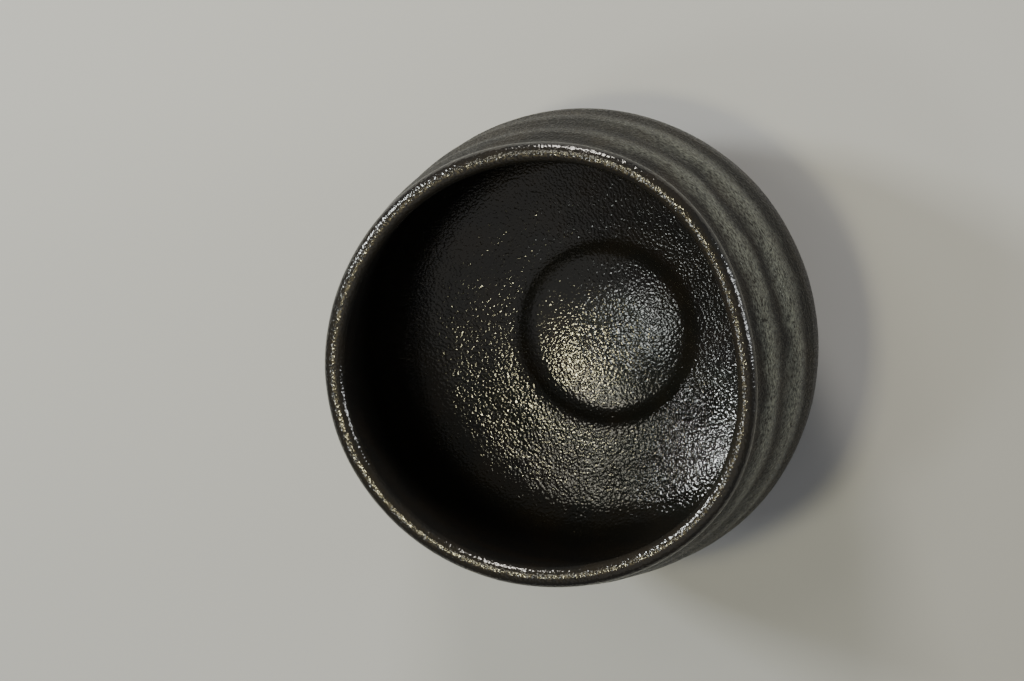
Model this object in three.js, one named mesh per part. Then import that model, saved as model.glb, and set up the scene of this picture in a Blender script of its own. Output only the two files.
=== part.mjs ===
// A hand-thrown matcha bowl: a stoneware body, a foot ring luted under it, and two coats of
// black glaze, one poured inside and one over the outer wall, with a narrow gap between them
// along the crest of the lip.
// Millimetres, +Z up. The origin is on the ground under the bowl, on the bowl's axis.
import * as THREE from 'three';

// Driving dimensions of the fired and glazed bowl.
const BOWL_HEIGHT = 85;
const CREST_RADIUS = 55.3; // middle of the lip's rounded top
const LIP_THICKNESS = 5.3;
const LIP_ROUNDING = 2.4; // height of the rounded top of the lip
const BELLY_RADIUS = 62.8; // widest outside radius
const BELLY_HEIGHT = 40;
const INNER_BELLY_RADIUS = 57.3;
const WELL_RADIUS = 24.6; // edge of the round well in the floor
const WELL_EDGE_HEIGHT = 19.0;
const WELL_CENTRE_HEIGHT = 14.2;
const FLOOR_RADIUS = 44; // where the floor turns up into the wall
const FLOOR_EDGE_HEIGHT = 25.0;
const FOOT_HEIGHT = 7.8;
const FOOT_OUTER_RADIUS = 30;
const FOOT_INNER_RADIUS = 22.5;
const FOOT_DRAFT = 1.2; // how much wider the ring is at its top than at the ground
const FOOT_EDGE = 0.8; // worn edges of the ring
const GLAZE = 0.8;
const GAP = 0.3; // clearance between pieces that touch on the real bowl
const GLAZE_LINE_RADIUS = 41; // the outer glaze stops here, short of the foot
const RIDGE = 0.4; // how far the throwing ridges stand out, and the grooves in

const SEGMENTS = 48;
const SAMPLES_PER_SPAN = 2;
const LIP_SAMPLES = 6;

// The lip isn't a true circle. Each lobe is [waves round the bowl, height in mm, angle in degrees],
// counted from the front (-Y) towards +X, and all of them die away down the wall.
const LIP_LOBES = [[1, 0.24, -88], [2, 0.15, 11], [3, 0.9, 48], [4, 0.4, 29], [5, 0.25, 21]];
const LOBE_DEPTH = 25;

const lipInnerRadius = CREST_RADIUS - LIP_THICKNESS / 2;
const lipOuterRadius = CREST_RADIUS + LIP_THICKNESS / 2;
const lipBase = BOWL_HEIGHT - LIP_ROUNDING;

// Points [radius, height] of the finished outside, from beside the foot up to the lip. The wall
// has two broad throwing ridges, with a shallow groove under the lip and another between them.
const outsidePoints = [
  [FOOT_OUTER_RADIUS + 1.5, FOOT_HEIGHT - GLAZE],
  [GLAZE_LINE_RADIUS, FOOT_HEIGHT + 0.9],
  [BELLY_RADIUS - 15.2, FOOT_HEIGHT + 3.8],
  [BELLY_RADIUS - 8.6, BELLY_HEIGHT - 23],
  [BELLY_RADIUS - 2.4, BELLY_HEIGHT - 12.5],
  [BELLY_RADIUS, BELLY_HEIGHT],
  [BELLY_RADIUS - 0.4 - RIDGE, BELLY_HEIGHT + 7],
  [BELLY_RADIUS - 1.4 + RIDGE, BOWL_HEIGHT - 30.5],
  [BELLY_RADIUS - 2.4 - RIDGE, BOWL_HEIGHT - 22],
  [BELLY_RADIUS - 3.5 + RIDGE, BOWL_HEIGHT - 13],
  [lipOuterRadius + 0.3 - RIDGE, BOWL_HEIGHT - 5],
  [lipOuterRadius, lipBase],
];

// Points of the finished inside, from the lip down to the middle of the well.
const insidePoints = [
  [lipInnerRadius, lipBase],
  [lipInnerRadius + 1.1, BOWL_HEIGHT - 12],
  [INNER_BELLY_RADIUS - 1.0, BOWL_HEIGHT - 27],
  [INNER_BELLY_RADIUS, BELLY_HEIGHT + 3],
  [INNER_BELLY_RADIUS - 3.4, FLOOR_EDGE_HEIGHT + 6.4],
  [FLOOR_RADIUS + 5, FLOOR_EDGE_HEIGHT + 2.2],
  [FLOOR_RADIUS, FLOOR_EDGE_HEIGHT],
  [WELL_RADIUS + 8, WELL_EDGE_HEIGHT + 2.3],
  [WELL_RADIUS, WELL_EDGE_HEIGHT],
  [WELL_RADIUS - 2.4, WELL_EDGE_HEIGHT - 1.8],
  [WELL_RADIUS - 5.4, WELL_CENTRE_HEIGHT + 2.0],
  [WELL_RADIUS - 13, WELL_CENTRE_HEIGHT + 0.7],
  [0, WELL_CENTRE_HEIGHT],
];

// Samples a smooth curve through the points.
function smooth(points) {
  const curve = new THREE.CatmullRomCurve3(points.map(([r, z]) => new THREE.Vector3(r, z, 0)));
  const samples = curve.getPoints((points.length - 1) * SAMPLES_PER_SPAN);
  return samples.map((p) => new THREE.Vector2(p.x, p.y));
}

// The rounded top of the lip: half an ellipse from the outer edge over the crest.
function lipArc() {
  const arc = new THREE.EllipseCurve(CREST_RADIUS, lipBase, LIP_THICKNESS / 2, LIP_ROUNDING, 0, Math.PI);
  return arc.getPoints(LIP_SAMPLES);
}

// Moves an outline sideways, to its left, by the distance. Corners are mitred, so the
// thickness between the outline and its copy is the same along every straight piece.
function offset(outline, distance) {
  return outline.map((point, i) => {
    const before = outline[Math.max(i - 1, 0)];
    const after = outline[Math.min(i + 1, outline.length - 1)];
    const arriving = point.equals(before) ? after.clone().sub(point) : point.clone().sub(before);
    const leaving = point.equals(after) ? arriving.clone() : after.clone().sub(point);
    const normalIn = new THREE.Vector2(-arriving.y, arriving.x).normalize();
    const normalOut = new THREE.Vector2(-leaving.y, leaving.x).normalize();
    const mitre = normalIn.clone().add(normalOut).normalize();
    return point.clone().addScaledVector(mitre, distance / mitre.dot(normalIn));
  });
}

// How far the lip's lobes push the wall out at an angle, in millimetres at the crest.
function lobe(angle) {
  return LIP_LOBES.reduce(
    (sum, [waves, size, start]) => sum + size * Math.cos(waves * (angle - THREE.MathUtils.degToRad(start))),
    0,
  );
}

// Turns an outline round the bowl's axis, then gives the wall the lip's lobes. An outline runs
// anticlockwise, with radius to the right and height up.
function turned(name, outline, look) {
  const geometry = new THREE.LatheGeometry(outline, SEGMENTS);
  geometry.rotateX(Math.PI / 2);
  const position = geometry.getAttribute('position');
  for (let i = 0; i < position.count; i += 1) {
    const x = position.getX(i);
    const y = position.getY(i);
    const z = position.getZ(i);
    const fade = Math.exp((z - BOWL_HEIGHT) / LOBE_DEPTH);
    const stretch = 1 + (fade * lobe(Math.atan2(x, -y))) / CREST_RADIUS;
    position.setXYZ(i, x * stretch, y * stretch, z);
  }
  geometry.computeVertexNormals();
  const mesh = new THREE.Mesh(geometry, new THREE.MeshStandardMaterial(look));
  mesh.name = name;
  return mesh;
}

// The finished skin from beside the foot, over the lip and down to the middle of the well.
const outside = smooth(outsidePoints);
const lip = lipArc();
const inside = smooth(insidePoints);
const skin = [...outside, ...lip.slice(1), ...inside.slice(1)];

// The clay surface lies under the glaze, and so does the back of each coat.
const claySkin = offset(skin, GLAZE + GAP);
const coatBack = offset(skin, GLAZE);
claySkin[claySkin.length - 1].x = 0;
coatBack[coatBack.length - 1].x = 0;

const clayLook = { color: 0x3d2f27, roughness: 0.85, metalness: 0 };
const glazeLook = { color: 0x0d0c0c, roughness: 0.25, metalness: 0 };

function clayBody() {
  return turned('clay_body', [new THREE.Vector2(0, claySkin[0].y), ...claySkin], clayLook);
}

// The ring under the body, a little wider at the top, with rounded edges where it stands.
function footRing() {
  const top = claySkin[0].y - GAP;
  const outline = [
    [FOOT_INNER_RADIUS, FOOT_EDGE],
    [FOOT_INNER_RADIUS + FOOT_EDGE, 0],
    [FOOT_OUTER_RADIUS - FOOT_DRAFT - FOOT_EDGE, 0],
    [FOOT_OUTER_RADIUS - FOOT_DRAFT, FOOT_EDGE],
    [FOOT_OUTER_RADIUS, top],
    [FOOT_INNER_RADIUS - FOOT_DRAFT, top],
    [FOOT_INNER_RADIUS, FOOT_EDGE],
  ].map(([r, z]) => new THREE.Vector2(r, z));
  return turned('foot_ring', outline, clayLook);
}

// The outer coat runs from the glaze line near the foot up the wall and over the lip's outer edge.
// It stops one lip sample short of the crest, clear of the inner coat.
function outerGlaze() {
  const first = skin.findIndex((p) => p.x >= GLAZE_LINE_RADIUS);
  const crest = outside.length - 1 + LIP_SAMPLES / 2 - 1;
  const face = skin.slice(first, crest + 1);
  const back = coatBack.slice(first, crest + 1).reverse();
  return turned('outer_glaze', [...face, ...back, face[0]], glazeLook);
}

// The inner coat runs from the crest of the lip down over the floor and the well.
function innerGlaze() {
  const crest = outside.length - 1 + LIP_SAMPLES / 2;
  const face = skin.slice(crest);
  const back = coatBack.slice(crest).reverse();
  return turned('inner_glaze', [...back, ...face], glazeLook);
}

const bowl = new THREE.Group();
bowl.add(clayBody(), footRing(), outerGlaze(), innerGlaze());

export default bowl;
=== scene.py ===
"""A black-glazed matcha bowl: stoneware body, foot ring, and two coats of pebbled glaze.

Metres, +Z up. The bowl stands on the ground with its axis on Z. An angle round it is counted from
the front (-Y) towards +X. Every piece is turned from a section, a path of (radius, height) points
that runs anticlockwise, so that the piece lies to the left of the path.
"""

import math

import bpy
import numpy as np
from mathutils import Matrix, Vector, noise


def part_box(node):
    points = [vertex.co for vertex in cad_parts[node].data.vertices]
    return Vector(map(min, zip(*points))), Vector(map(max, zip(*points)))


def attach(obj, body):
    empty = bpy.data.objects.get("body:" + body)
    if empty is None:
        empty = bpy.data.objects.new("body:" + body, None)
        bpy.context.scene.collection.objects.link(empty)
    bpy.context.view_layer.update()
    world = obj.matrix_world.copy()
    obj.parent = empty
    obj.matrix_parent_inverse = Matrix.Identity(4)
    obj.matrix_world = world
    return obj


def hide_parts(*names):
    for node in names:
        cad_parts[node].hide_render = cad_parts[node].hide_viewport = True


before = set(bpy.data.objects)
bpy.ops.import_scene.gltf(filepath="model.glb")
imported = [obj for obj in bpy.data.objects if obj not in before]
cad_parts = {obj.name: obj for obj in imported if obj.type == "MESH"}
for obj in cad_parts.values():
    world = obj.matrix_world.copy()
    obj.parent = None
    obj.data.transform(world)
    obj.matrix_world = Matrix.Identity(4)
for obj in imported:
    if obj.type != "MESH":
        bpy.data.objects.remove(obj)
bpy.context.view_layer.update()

MM = 0.001
GLAZE = 0.8 * MM  # thickness of both coats

# Sizes taken from the frame.
outer_low, outer_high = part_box("outer_glaze")
inner_low, inner_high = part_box("inner_glaze")
foot_low, foot_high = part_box("foot_ring")
HEIGHT = inner_high[2]
BELLY_RADIUS = (outer_high[0] - outer_low[0]) / 2
INNER_BELLY_RADIUS = (inner_high[0] - inner_low[0]) / 2 - GLAZE
FOOT_RADIUS = (foot_high[0] - foot_low[0]) / 2
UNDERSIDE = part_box("clay_body")[0][2]

# Sizes of the section.
CREST_RADIUS = 55.3 * MM
LIP_THICKNESS = 5.3 * MM
LIP_ROUNDING = 2.4 * MM
BELLY_HEIGHT = 40 * MM
WELL_RADIUS = 24.6 * MM
WELL_EDGE_HEIGHT = 19.0 * MM
WELL_CENTRE_HEIGHT = 14.2 * MM
FLOOR_RADIUS = 44 * MM
FLOOR_EDGE_HEIGHT = 25 * MM
FOOT_INNER_RADIUS = 22.5 * MM
FOOT_DRAFT = 1.2 * MM
GLAZE_LINE_RADIUS = 41 * MM
RIDGE = 0.4 * MM  # how far the throwing ridges stand out, and the grooves in
SHEEN_SIDE = math.radians(-102)  # the side of the wall with the painted sheen, which faces the fill light, from +X
LIP_LAP = 4.6 * MM  # how far down from the crest the outer coat is as glossy as the inside
BEAD = 1.3 * MM  # width of the rounded edge where the outer coat stops above the foot
BEHIND_GLAZE = 0.02 * MM  # how far the clay lies behind the glaze, so that they don't coincide

# The lip's lobes: waves round the bowl, height, and angle in degrees from the front.
LIP_LOBES = [
    (1, 0.24 * MM, -88),
    (2, 0.15 * MM, 11),
    (3, 0.90 * MM, 48),
    (4, 0.40 * MM, 29),
    (5, 0.25 * MM, 21),
]
LOBE_DEPTH = 25 * MM  # how fast the lobes die away down the wall

# The potter's slow hand marks: height, width and seed of each soft noise.
SLOW_MARKS = [
    (0.16 * MM, 30 * MM, 1),
    (0.06 * MM, 9 * MM, 2),
    (0.025 * MM, 3 * MM, 8),
]
THROWING_PITCH = 3.4 * MM  # how far the spiral of throwing lines climbs in one turn
THROWING_DEPTH = 0.025 * MM

ROW_STEP = 0.75 * MM  # spacing of a section's points
COLUMNS = 400  # points round the bowl
BACK_SKIP = 6  # a hidden back keeps one row in so many
LIP_ROWS = 10  # rows on each half of the lip's rounded top
CRISP_ANGLE = math.radians(55)  # an edge sharper than this isn't shaded smooth
SEED_SPACING = 17  # how far apart the noise of two seeds lies, in bumps
ANGLES = np.linspace(0, 2 * math.pi, COLUMNS, endpoint=False)


# ---------------------------------------------------------------- sections and turning


def smooth_curve(points, step):
    """Points about one step apart on a centripetal Catmull-Rom curve through the given ones."""
    knots = np.array(points)
    knots = np.vstack([2 * knots[0] - knots[1], knots, 2 * knots[-1] - knots[-2]])
    curve = []
    for p0, p1, p2, p3 in zip(knots, knots[1:], knots[2:], knots[3:]):
        t1 = math.sqrt(np.linalg.norm(p1 - p0))
        t2 = t1 + math.sqrt(np.linalg.norm(p2 - p1))
        t3 = t2 + math.sqrt(np.linalg.norm(p3 - p2))
        count = max(2, round(np.linalg.norm(p2 - p1) / step))
        for t in np.linspace(t1, t2, count, endpoint=False):
            a1 = p0 * (t1 - t) / t1 + p1 * t / t1
            a2 = p1 * (t2 - t) / (t2 - t1) + p2 * (t - t1) / (t2 - t1)
            a3 = p2 * (t3 - t) / (t3 - t2) + p3 * (t - t2) / (t3 - t2)
            b1 = a1 * (t2 - t) / t2 + a2 * t / t2
            b2 = a2 * (t3 - t) / (t3 - t1) + a3 * (t - t1) / (t3 - t1)
            curve.append(b1 * (t2 - t) / (t2 - t1) + b2 * (t - t1) / (t2 - t1))
    curve.append(knots[-2])
    return np.array(curve)


def outward(section):
    """Unit vectors out of the piece at a section's points: to the right of its path."""
    along = np.gradient(section, axis=0)
    along /= np.linalg.norm(along, axis=1)[:, None]
    return np.stack([along[:, 1], -along[:, 0]], axis=1)


def lengths(section):
    """Distance along a section at each of its points."""
    steps = np.linalg.norm(np.diff(section, axis=0), axis=1)
    return np.concatenate([[0], np.cumsum(steps)])


def grid(section, lift):
    """Radius and height of a section at every angle, raised outward by lift, which may differ
    from row to row and from angle to angle."""
    out = outward(section)
    lift = lift + np.zeros((len(section), COLUMNS))
    return section[:, :1] + out[:, :1] * lift, section[:, 1:] + out[:, 1:] * lift


def lobes():
    """How far the lip's lobes push the crest out, at every angle."""
    total = 0
    for waves, size, start in LIP_LOBES:
        total = total + size * np.cos(waves * (ANGLES - math.radians(start)))
    return total


def turned(name, rows, closed):
    """A smooth mesh from a (radius, height) pair of grids, one row for each point of the section
    and one column for each angle. A closed section joins its last row to its first. An open one
    starts and ends on the axis, where each end row becomes one point."""
    radius, height = rows
    spread = 1 + lobes() / CREST_RADIUS * np.exp((height - HEIGHT) / LOBE_DEPTH)
    x = radius * spread * np.sin(ANGLES)
    y = -radius * spread * np.cos(ANGLES)
    points = np.stack([x, y, height], axis=2)
    count = len(points)
    here = np.arange(COLUMNS)
    beside = np.roll(here, -1)
    faces = []
    if closed:
        vertices = points.reshape(-1, 3)
        pairs = [(row, (row + 1) % count) for row in range(count)]
    else:
        vertices = points[1:-1].reshape(-1, 3)
        pairs = [(row, row + 1) for row in range(count - 3)]
        start = len(vertices)
        end = start + 1
        last_row = start - COLUMNS
        vertices = np.vstack([vertices, points[0].mean(axis=0), points[-1].mean(axis=0)])
        vertices[start:, :2] = 0
        around = list(zip(here.tolist(), beside.tolist()))
        faces += [(start, b, a) for a, b in around]
        faces += [(end, last_row + a, last_row + b) for a, b in around]
    for low, high in pairs:
        low, high = low * COLUMNS, high * COLUMNS
        faces += np.stack([low + here, low + beside, high + beside, high + here], axis=1).tolist()
    mesh = bpy.data.meshes.new(name)
    mesh.from_pydata(vertices.tolist(), [], faces)
    mesh.validate()
    mesh.shade_smooth()
    mesh.set_sharp_from_angle(angle=CRISP_ANGLE)
    piece = bpy.data.objects.new(name, mesh)
    bpy.context.scene.collection.objects.link(piece)
    return piece


def mark(piece, name, values):
    """Stores one number for each point of a turned piece, row by row, for its material to read."""
    attribute = piece.data.attributes.new(name, "FLOAT", "POINT")
    attribute.data.foreach_set("value", np.asarray(values, dtype=np.float32).ravel())


def stacked(*parts):
    """Several pairs of grids as one, in order along the section."""
    radii = [radius for radius, height in parts]
    heights = [height for radius, height in parts]
    return np.vstack(radii), np.vstack(heights)


def uneven(rows, size, seed):
    """Soft noise, about -1 to 1, over a pair of grids. size is how wide its bumps are."""
    radius, height = rows
    x = radius * np.sin(ANGLES) / size + SEED_SPACING * seed
    y = -radius * np.cos(ANGLES) / size
    z = height / size + 0 * x
    values = [noise.noise(point) for point in zip(x.ravel(), y.ravel(), z.ravel())]
    return np.array(values).reshape(x.shape)


def smoothstep(low, high, value):
    """0 up to low, 1 from high on, and an S-shaped climb between them."""
    t = np.clip((value - low) / (high - low), 0, 1)
    return t * t * (3 - 2 * t)


# ---------------------------------------------------------------- the finished bowl's section

lip_inner = CREST_RADIUS - LIP_THICKNESS / 2
lip_outer = CREST_RADIUS + LIP_THICKNESS / 2
lip_base = HEIGHT - LIP_ROUNDING

# The outside, from beside the foot up to the lip, with two broad throwing ridges.
outside = smooth_curve(
    [
        (FOOT_RADIUS + 1.5 * MM, UNDERSIDE - 1.1 * MM),
        (GLAZE_LINE_RADIUS, UNDERSIDE + 0.6 * MM),
        (BELLY_RADIUS - 15.2 * MM, UNDERSIDE + 3.5 * MM),
        (BELLY_RADIUS - 8.6 * MM, BELLY_HEIGHT - 23 * MM),
        (BELLY_RADIUS - 2.4 * MM, BELLY_HEIGHT - 12.5 * MM),
        (BELLY_RADIUS, BELLY_HEIGHT),
        (BELLY_RADIUS - 0.4 * MM - RIDGE, BELLY_HEIGHT + 7 * MM),
        (BELLY_RADIUS - 1.4 * MM + RIDGE, HEIGHT - 30.5 * MM),
        (BELLY_RADIUS - 2.4 * MM - RIDGE, HEIGHT - 22 * MM),
        (BELLY_RADIUS - 3.5 * MM + RIDGE, HEIGHT - 13 * MM),
        (lip_outer + 0.3 * MM - RIDGE, HEIGHT - 5 * MM),
        (lip_outer, lip_base),
    ],
    ROW_STEP,
)

# The inside, from the lip down to the middle of the well.
inside = smooth_curve(
    [
        (lip_inner, lip_base),
        (lip_inner + 1.1 * MM, HEIGHT - 12 * MM),
        (INNER_BELLY_RADIUS - 1.0 * MM, HEIGHT - 27 * MM),
        (INNER_BELLY_RADIUS, BELLY_HEIGHT + 3 * MM),
        (INNER_BELLY_RADIUS - 3.4 * MM, FLOOR_EDGE_HEIGHT + 6.4 * MM),
        (FLOOR_RADIUS + 5 * MM, FLOOR_EDGE_HEIGHT + 2.2 * MM),
        (FLOOR_RADIUS, FLOOR_EDGE_HEIGHT),
        (WELL_RADIUS + 8 * MM, WELL_EDGE_HEIGHT + 2.3 * MM),
        (WELL_RADIUS + 1.2 * MM, WELL_EDGE_HEIGHT + 0.4 * MM),
        (WELL_RADIUS, WELL_EDGE_HEIGHT - 0.2 * MM),
        (WELL_RADIUS - 1.2 * MM, WELL_EDGE_HEIGHT - 1.2 * MM),
        (WELL_RADIUS - 3.2 * MM, WELL_EDGE_HEIGHT - 2.3 * MM),
        (WELL_RADIUS - 5.6 * MM, WELL_CENTRE_HEIGHT + 1.9 * MM),
        (WELL_RADIUS - 13 * MM, WELL_CENTRE_HEIGHT + 0.7 * MM),
        (0, WELL_CENTRE_HEIGHT),
    ],
    ROW_STEP,
)


def lip_arc():
    """The rounded top of the lip in two halves: outer edge to crest, and crest to inner edge."""
    turn = np.linspace(0, math.pi, 2 * LIP_ROWS + 1)
    radius = CREST_RADIUS + LIP_THICKNESS / 2 * np.cos(turn)
    height = lip_base + LIP_ROUNDING * np.sin(turn)
    arc = np.stack([radius, height], axis=1)
    return arc[: LIP_ROWS + 1], arc[LIP_ROWS:]


lip_outside, lip_inside = lip_arc()
outer_skin = np.vstack([outside, lip_outside[1:]])
inner_skin = np.vstack([lip_inside, inside[1:]])


def hand_marks(rows):
    """What the potter's hands left in the glazed surface: slow unevenness, and faint throwing
    lines that climb the wall and fade out towards the lip."""
    height = rows[1]
    slow = sum(size * uneven(rows, width, seed) for size, width, seed in SLOW_MARKS)
    wander = 1.5 * uneven(rows, 25 * MM, 3)
    lines = np.sin(2 * math.pi * height / THROWING_PITCH - ANGLES + wander)
    below_lip = 1 - smoothstep(HEIGHT - 9 * MM, HEIGHT - 3 * MM, height)
    return slow + THROWING_DEPTH * lines * below_lip


# ---------------------------------------------------------------- pieces


def inner_coat():
    """The glaze poured inside, from the crest of the lip down over the well."""
    face = grid(inner_skin, hand_marks(grid(inner_skin, 0)))
    back = grid(inner_skin, -GLAZE)
    back = back[0][::-BACK_SKIP], back[1][::-BACK_SKIP]
    rows = stacked(back, face)
    piece = turned("glaze_inside", rows, closed=False)
    from_crest = -lengths(inner_skin)
    from_crest = np.concatenate([from_crest[::-BACK_SKIP], from_crest])
    values = np.repeat(from_crest[1:-1], COLUMNS)
    mark(piece, "from_crest", np.append(values, [from_crest[0], from_crest[-1]]))
    return piece


def outer_coat():
    """The glaze over the outer wall. It stops short of the foot in a wandering line, where it
    has drawn up into a rounded bead."""
    along = lengths(outer_skin)
    first = along[np.argmax(outer_skin[:, 0] >= GLAZE_LINE_RADIUS)]
    circle = np.full((1, COLUMNS), GLAZE_LINE_RADIUS), np.zeros((1, COLUMNS))
    wander = 3.0 * MM * uneven(circle, 24 * MM, 4)[0] + 1.2 * MM * uneven(circle, 8 * MM, 5)[0]
    start = first + wander

    # How far along the section each row lies. The rows are closer together over the bead.
    past_bead = 3 * BEAD
    near = np.linspace(0, 1, 13)[:, None] * past_bead
    far = np.linspace(0, 1, len(outer_skin))[1:, None]
    edge = start + past_bead
    where = np.vstack([start + near, edge + (along[-1] - edge) * far])
    radius = np.interp(where, along, outer_skin[:, 0])
    height = np.interp(where, along, outer_skin[:, 1])
    out = outward(outer_skin)
    out_radius = np.interp(where, along, out[:, 0])
    out_height = np.interp(where, along, out[:, 1])

    # The bead's rounded edge, and the swell behind it.
    inwards = np.clip((where - start) / BEAD, 0, None)
    rounded = np.sqrt(1 - (1 - np.clip(inwards, 0, 1)) ** 2)
    swell = 1 + 0.5 * np.exp(-(((inwards - 1) / 1.6) ** 2))
    marks = hand_marks((radius, height)) * smoothstep(0, 1, inwards)
    lift = GLAZE * (rounded * swell - 1) + marks

    face = radius + out_radius * lift, height + out_height * lift
    back_radius = radius - out_radius * GLAZE
    back_height = height - out_height * GLAZE
    back = back_radius[:0:-BACK_SKIP], back_height[:0:-BACK_SKIP]
    piece = turned("glaze_outside", stacked(face, back), closed=True)

    from_crest = along[-1] - where
    from_crest = np.vstack([from_crest, from_crest[:0:-BACK_SKIP]])
    mark(piece, "from_crest", from_crest)
    on_lip = np.repeat(from_crest.mean(axis=1) < LIP_LAP, COLUMNS)
    piece.data.polygons.foreach_set("material_index", on_lip.astype(np.int32))
    return piece


def trimming_marks(rows, pitch, depth):
    """Rings that the trimming tool cut into the leather-hard clay, and a gritty unevenness."""
    radius, height = rows
    path = radius + height
    turns = path / pitch - ANGLES / (2 * math.pi)
    rings = np.abs(np.sin(math.pi * turns + 0.6 * uneven(rows, 14 * MM, 6)))
    return depth * (rings - 0.6) + 0.08 * MM * uneven(rows, 3 * MM, 7)


def clay_body():
    """The thrown shell. Only its underside shows, with the rings left by trimming."""
    reach = np.arange(0, outside[0][0], 0.6 * MM)
    bottom = np.stack([reach, np.full_like(reach, UNDERSIDE)], axis=1)
    underside = grid(bottom, trimming_marks(grid(bottom, 0), 3.2 * MM, 0.22 * MM))

    # The rest of the shell lies behind the glaze. The rows that show below the glaze, and a few
    # past its edge, are trimmed too.
    skin = np.vstack([outer_skin, inner_skin[1:]])
    shown = np.argmax(outer_skin[:, 0] > GLAZE_LINE_RADIUS + 8 * MM)
    hip_marks = trimming_marks(grid(skin, -GLAZE), 2.6 * MM, 0.10 * MM)
    fade = np.ones((len(skin), 1))
    fade[shown:] = 0
    hip = grid(skin, -GLAZE - BEHIND_GLAZE + (hip_marks - 0.1 * MM) * fade)
    near = hip[0][:shown], hip[1][:shown]
    far = hip[0][shown::BACK_SKIP], hip[1][shown::BACK_SKIP]
    well_centre = WELL_CENTRE_HEIGHT - GLAZE - BEHIND_GLAZE
    end = np.zeros((1, COLUMNS)), np.full((1, COLUMNS), well_centre)
    return turned("stoneware_body", stacked(underside, near, far, end), closed=False)


def rounded_corner(corner, before, after, radius, count):
    """An arc that rounds a corner of a section, from the side of one neighbour to the other's."""
    corner, before, after = np.array(corner), np.array(before), np.array(after)
    arriving = (corner - before) / np.linalg.norm(corner - before)
    leaving = (after - corner) / np.linalg.norm(after - corner)
    start = corner - arriving * radius
    end = corner + leaving * radius
    t = np.linspace(0, 1, count)[:, None]
    return (1 - t) ** 2 * start + 2 * t * (1 - t) * corner + t**2 * end


def foot_ring():
    """The ring that the bowl stands on, trimmed and then worn smooth where it touches down."""
    top = UNDERSIDE + 0.1 * MM
    outer_base = FOOT_RADIUS - FOOT_DRAFT
    corners = [
        (FOOT_INNER_RADIUS, 0),
        (outer_base, 0),
        (FOOT_RADIUS, top),
        (FOOT_INNER_RADIUS - FOOT_DRAFT, top),
    ]
    rounding = [1.0 * MM, 1.4 * MM, 0.05 * MM, 0.05 * MM]
    section = []
    for i, corner in enumerate(corners):
        following = (i + 1) % len(corners)
        section.append(rounded_corner(corner, corners[i - 1], corners[following], rounding[i], 7))
        side = np.array(corners[following]) - np.array(corner)
        span = np.linalg.norm(side)
        along = np.arange(rounding[i] + 0.4 * MM, span - rounding[following] - 0.3 * MM, 0.5 * MM)
        section.append(np.array(corner) + along[:, None] * (side / span))
    section = np.vstack(section)
    plain = grid(section, 0)
    standing = smoothstep(0.1 * MM, 1.5 * MM, plain[1])
    marks = trimming_marks(plain, 2.3 * MM, 0.12 * MM) * standing
    return turned("stoneware_foot", grid(section, marks - 0.05 * MM * standing), closed=True)


# ---------------------------------------------------------------- materials


class Nodes:
    """A material's node tree, with a short way to add and link nodes."""

    def __init__(self, name):
        self.material = bpy.data.materials.new(name)
        self.material.use_nodes = True
        self.tree = self.material.node_tree
        self.shader = self.tree.nodes["Principled BSDF"]
        self.position = self.tree.nodes.new("ShaderNodeTexCoord").outputs["Object"]

    def add(self, kind, **inputs):
        """A new node, with its inputs set or linked by name."""
        node = self.tree.nodes.new(kind)
        for key, value in inputs.items():
            self.put(node.inputs[key.replace("_", " ")], value)
        return node

    def put(self, socket, value):
        """Links a socket to another one, or sets it to a plain value."""
        if isinstance(value, bpy.types.NodeSocket):
            self.tree.links.new(value, socket)
        else:
            socket.default_value = value

    def noise(self, size, detail=2.0, roughness=0.5, distortion=0.0, squash=1):
        """Noise whose features are about size wide, and squash times less high."""
        place = self.add("ShaderNodeMapping", Vector=self.position, Scale=(1, 1, squash))
        node = self.add(
            "ShaderNodeTexNoise",
            Vector=place.outputs["Vector"],
            Scale=1 / size,
            Detail=detail,
            Roughness=roughness,
            Distortion=distortion,
        )
        return node.outputs["Fac"]

    def cells(self, size):
        """Distance from the middle of the nearest of some soft cells about size wide."""
        node = self.tree.nodes.new("ShaderNodeTexVoronoi")
        node.feature = "SMOOTH_F1"
        self.put(node.inputs["Vector"], self.position)
        self.put(node.inputs["Scale"], 1 / size)
        self.put(node.inputs["Smoothness"], 0.6)
        return node.outputs["Distance"]

    def spread(self, value, low, high, to_low=0.0, to_high=1.0):
        """Value, moved from one range to another and kept inside it."""
        node = self.add("ShaderNodeMapRange")
        for index, item in enumerate([value, low, high, to_low, to_high]):
            self.put(node.inputs[index], item)
        return node.outputs["Result"]

    def math(self, operation, a, b=0.0):
        """One sum, product or other operation on two values."""
        node = self.tree.nodes.new("ShaderNodeMath")
        node.operation = operation
        self.put(node.inputs[0], a)
        self.put(node.inputs[1], b)
        return node.outputs["Value"]

    def mix(self, factor, a, b):
        """Colour a where factor is 0, and colour b where it is 1."""
        node = self.tree.nodes.new("ShaderNodeMix")
        node.data_type = "RGBA"
        self.put(node.inputs["Factor"], factor)
        colours = [socket for socket in node.inputs if socket.type == "RGBA"]
        self.put(colours[0], a)
        self.put(colours[1], b)
        return next(socket for socket in node.outputs if socket.type == "RGBA")

    def axis(self, letter):
        """How far a point lies along the object's X, Y or Z."""
        return self.add("ShaderNodeSeparateXYZ", Vector=self.position).outputs[letter]

    def bump(self, height, distance):
        """Bumps the surface by a height, where a height of 1 stands for distance."""
        node = self.add("ShaderNodeBump", Height=height, Distance=distance)
        self.put(self.shader.inputs["Normal"], node.outputs["Normal"])


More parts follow.
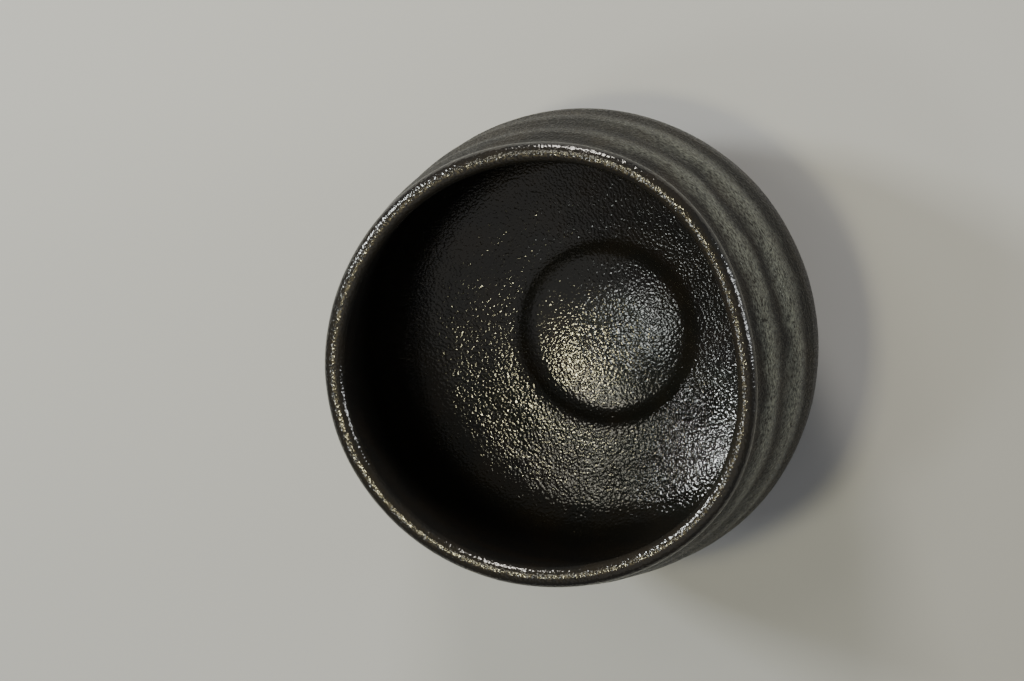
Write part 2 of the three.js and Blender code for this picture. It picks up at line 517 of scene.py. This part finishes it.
# Colours, as linear red, green, blue and alpha.
BLACK = (0.0115, 0.0112, 0.0108, 1)
BLACK_BROWN = (0.0150, 0.0130, 0.0108, 1)
LIP_BROWN = (0.0170, 0.0140, 0.0095, 1)
THIN_BROWN = (0.080, 0.068, 0.042, 1)
# painted sheen: the grey of the metallic bands that stand in for the fill light's reflection on
# the wall
SHEEN_GREY = (0.225, 0.236, 0.203, 1)
CLAY = (0.155, 0.105, 0.072, 1)
CLAY_DARK = (0.075, 0.050, 0.036, 1)
CLAY_PALE = (0.30, 0.235, 0.17, 1)
FLOOR_GREY = (0.42, 0.418, 0.412, 1)

WALL_IOR = 1.14  # lower than a glaze's 1.5, so that the satin wall mirrors little of the floor


def crest_distance(nodes):
    """How far from the crest of the lip a point is, along the section. It is negative inside."""
    node = nodes.tree.nodes.new("ShaderNodeAttribute")
    node.attribute_name = "from_crest"
    return node.outputs["Fac"]


def pebbles(nodes, depth):
    """Bumps the surface into citron skin: grains that crowd together, lower on the lip, where the
    glaze is thin, and in the well, where it has pooled. Returns the height of the ripples."""
    grains = nodes.math("SUBTRACT", 1.0, nodes.cells(0.62 * MM))
    ripples = nodes.noise(0.75 * MM, detail=0.5, distortion=0.2)
    surface = nodes.math("ADD", nodes.math("MULTIPLY", grains, 0.4), ripples)
    aside = nodes.math("ABSOLUTE", crest_distance(nodes))
    off_lip = nodes.spread(aside, 3 * MM, 9 * MM, 0.75, 1)
    well_floor = WELL_CENTRE_HEIGHT + 1.5 * MM
    off_well = nodes.spread(nodes.axis("Z"), well_floor, WELL_EDGE_HEIGHT, 0.68, 1)
    strength = nodes.math("MULTIPLY", off_lip, off_well)
    nodes.bump(nodes.math("MULTIPLY", surface, strength), depth)
    return ripples


def pebbled_roughness(nodes, ripples, rough, smooth):
    """Roughness of a pebbled coat: rough in the dips and smooth on the tops of its ripples."""
    return nodes.spread(ripples, 0.35, 0.65, rough, smooth)


def glaze_colour(nodes):
    """Black, faintly brown in patches. Over the lip it is thin and brown, with a paler broken
    line along the crest."""
    patches = nodes.spread(nodes.noise(11 * MM, detail=3.0), 0.42, 0.66)
    body = nodes.mix(patches, BLACK, BLACK_BROWN)
    aside = nodes.math("ABSOLUTE", nodes.math("ADD", crest_distance(nodes), 0.4 * MM))
    broken = nodes.noise(0.7 * MM, detail=3.0, roughness=0.7)
    near_crest = nodes.spread(aside, 2.4 * MM, 1.2 * MM)
    over_lip = nodes.math("MULTIPLY", near_crest, nodes.spread(broken, 0.36, 0.56))
    at_crest = nodes.spread(aside, 0.75 * MM, 0.2 * MM)
    on_crest = nodes.math("MULTIPLY", at_crest, nodes.spread(broken, 0.48, 0.60))
    return nodes.mix(on_crest, nodes.mix(over_lip, body, LIP_BROWN), THIN_BROWN)


def glossy_glaze(name, rough, smooth):
    """The glaze inside the bowl and round its lip, where it is glossy."""
    nodes = Nodes(name)
    ripples = pebbles(nodes, 0.18 * MM)
    nodes.put(nodes.shader.inputs["Base Color"], glaze_colour(nodes))
    nodes.put(nodes.shader.inputs["Roughness"], pebbled_roughness(nodes, ripples, rough, smooth))
    return nodes.material


def ridge_band(nodes, down, middle, reach):
    """1 along a ridge of the wall, falling to 0 at reach on either side of it."""
    aside = nodes.math("ABSOLUTE", nodes.math("SUBTRACT", down, middle))
    return nodes.spread(aside, reach, 0.5 * MM)


def painted_sheen(nodes):
    """How much painted sheen a point has: two streaky bands along the ridges, on the side that
    faces the fill light, standing in for that light's reflection. Their edges wander, and they
    fade out round the bowl."""
    drift = nodes.noise(15 * MM, detail=4.0, roughness=0.65)
    drift = nodes.spread(drift, 0.3, 0.7, -2.5 * MM, 2.5 * MM)
    down = nodes.math("ADD", crest_distance(nodes), drift)
    upper = ridge_band(nodes, down, 15 * MM, 6.5 * MM)
    lower = ridge_band(nodes, down, 32.5 * MM, 8.5 * MM)
    bands = nodes.math("MAXIMUM", upper, lower)
    # the painted sheen is kept to the side that faces the fill light
    across_x = nodes.math("MULTIPLY", nodes.axis("X"), math.cos(SHEEN_SIDE))
    across_y = nodes.math("MULTIPLY", nodes.axis("Y"), math.sin(SHEEN_SIDE))
    towards_fill = nodes.math("ADD", across_x, across_y)
    facing_fill = nodes.spread(towards_fill, 0.30 * BELLY_RADIUS, 0.90 * BELLY_RADIUS)
    streaks = nodes.noise(1.1 * MM, detail=2.0, roughness=0.7, squash=3)
    streaks = nodes.spread(streaks, 0.42, 0.62)
    return nodes.math("MULTIPLY", nodes.math("MULTIPLY", bands, facing_fill), streaks)


def wall_glaze():
    """The outer coat on the wall: satin black, with a painted sheen on one side: grey metallic
    bands that stand in for the fill light's reflection."""
    nodes = Nodes("glaze_wall")
    ripples = pebbles(nodes, 0.26 * MM)
    sheen = painted_sheen(nodes)
    # painted sheen: grey metallic bands where the fill light's reflection falls on the ridges
    colour = nodes.mix(sheen, glaze_colour(nodes), SHEEN_GREY)
    roughness = pebbled_roughness(nodes, ripples, 0.42, 0.24)
    roughness = nodes.math("ADD", roughness, nodes.math("MULTIPLY", sheen, 0.06))
    nodes.put(nodes.shader.inputs["Base Color"], colour)
    nodes.put(nodes.shader.inputs["Metallic"], sheen)
    nodes.put(nodes.shader.inputs["Roughness"], roughness)
    nodes.shader.inputs["IOR"].default_value = WALL_IOR
    return nodes.material


def bare_clay():
    """Iron-rich stoneware: brown, gritty, darker where the fire has flashed it."""
    nodes = Nodes("bare_clay")
    flashes = nodes.spread(nodes.noise(14 * MM, detail=4.0, roughness=0.6), 0.38, 0.62)
    colour = nodes.mix(flashes, CLAY, CLAY_DARK)
    grit = nodes.noise(0.45 * MM, detail=3.0, roughness=0.7)
    specks = nodes.spread(grit, 0.62, 0.70, 0.0, 0.8)
    nodes.put(nodes.shader.inputs["Base Color"], nodes.mix(specks, colour, CLAY_PALE))
    nodes.shader.inputs["Roughness"].default_value = 0.86
    coarse = nodes.noise(1.3 * MM, detail=4.0, roughness=0.65)
    nodes.bump(nodes.math("ADD", nodes.math("MULTIPLY", grit, 0.5), coarse), 0.22 * MM)
    return nodes.material


def finish_piece(piece, node, slot, *materials):
    """Gives a piece its materials and its place in the frame."""
    for material in materials:
        piece.data.materials.append(material)
    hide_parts(node)
    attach(piece, "root")


clay = bare_clay()
inside_glaze = glossy_glaze("glaze_inside", 0.17, 0.09)
lip_glaze = glossy_glaze("glaze_lip", 0.18, 0.12)
finish_piece(outer_coat(), "outer_glaze", "outer_glaze", wall_glaze(), lip_glaze)
finish_piece(inner_coat(), "inner_glaze", "inner_glaze", inside_glaze)
finish_piece(clay_body(), "clay_body", "clay", clay)
finish_piece(foot_ring(), "foot_ring", "clay", clay)


# ---------------------------------------------------------------- floor, light and camera


def pale_floor():
    """A plain pale floor, far wider than any view of the bowl."""
    reach = 3.0
    corners = [(-reach, -reach, 0), (reach, -reach, 0), (reach, reach, 0), (-reach, reach, 0)]
    mesh = bpy.data.meshes.new("floor")
    mesh.from_pydata(corners, [], [(0, 1, 2, 3)])
    floor = bpy.data.objects.new("floor", mesh)
    bpy.context.scene.collection.objects.link(floor)
    nodes = Nodes("floor")
    nodes.shader.inputs["Base Color"].default_value = FLOOR_GREY
    nodes.shader.inputs["Roughness"].default_value = 0.9
    mesh.materials.append(nodes.material)


def softbox(name, azimuth, elevation, distance, size, power, colour):
    """A square area light that faces the bowl. Azimuth is counted from +X towards +Y."""
    light = bpy.data.lights.new(name, "AREA")
    light.size = size
    light.energy = power
    light.color = colour
    lamp = bpy.data.objects.new(name, light)
    turn = math.radians(azimuth)
    rise = math.radians(elevation)
    level = math.cos(rise)
    towards = Vector((math.cos(turn) * level, math.sin(turn) * level, math.sin(rise)))
    lamp.location = Vector((0, 0, HEIGHT / 2)) + towards * distance
    lamp.rotation_euler = towards.to_track_quat("Z", "Y").to_euler()
    bpy.context.scene.collection.objects.link(lamp)


def dim_world():
    """A faint, slightly blue light from all round."""
    world = bpy.data.worlds.new("studio")
    world.use_nodes = True
    background = world.node_tree.nodes["Background"]
    background.inputs["Color"].default_value = (0.86, 0.90, 1.0, 1)
    background.inputs["Strength"].default_value = 0.11
    bpy.context.scene.world = world


def camera():
    """A long lens that looks down into the bowl from the front. It is rolled so that the bowl's
    front is at the picture's right, and its outer wall shows at the upper right."""
    lens = bpy.data.cameras.new("camera")
    lens.sensor_width = 36
    lens.lens = 133.6

    # The camera's own axes. It looks down at 71 degrees.
    right = Vector((-0.4322, -0.8526, -0.2936))
    back = Vector((0, -0.3256, 0.9455))
    up = back.cross(right)

    seat = Vector((9.2 * MM, -313.2 * MM, HEIGHT + 918 * MM))
    turn = Matrix((right, up, back)).transposed().to_4x4()
    view = bpy.data.objects.new("camera", lens)
    view.matrix_world = Matrix.Translation(seat) @ turn
    bpy.context.scene.collection.objects.link(view)
    bpy.context.scene.camera = view


pale_floor()

# Each light's name, azimuth, elevation, distance, size, power and colour.
softbox("key", 42, 37, 0.9, 0.16, 5.7, (0.96, 1.0, 0.98))
softbox("top", -20, 20, 0.9, 0.24, 7.4, (1.0, 0.95, 0.86))
softbox("warm_lamp", 43, 84.5, 0.9, 0.09, 3.0, (1.0, 0.93, 0.58))
softbox("cool_panel", 86, 60, 0.9, 0.13, 1.0, (0.96, 1.0, 0.96))
softbox("glow", 14, 67, 0.9, 0.22, 1.05, (1.0, 0.97, 0.82))
softbox("haze", 172, 60, 0.9, 0.9, 0.8, (1.0, 0.98, 0.95))
softbox("fill", -104, 9, 1.0, 0.30, 5.0, (0.98, 1.0, 1.0))

dim_world()
camera()
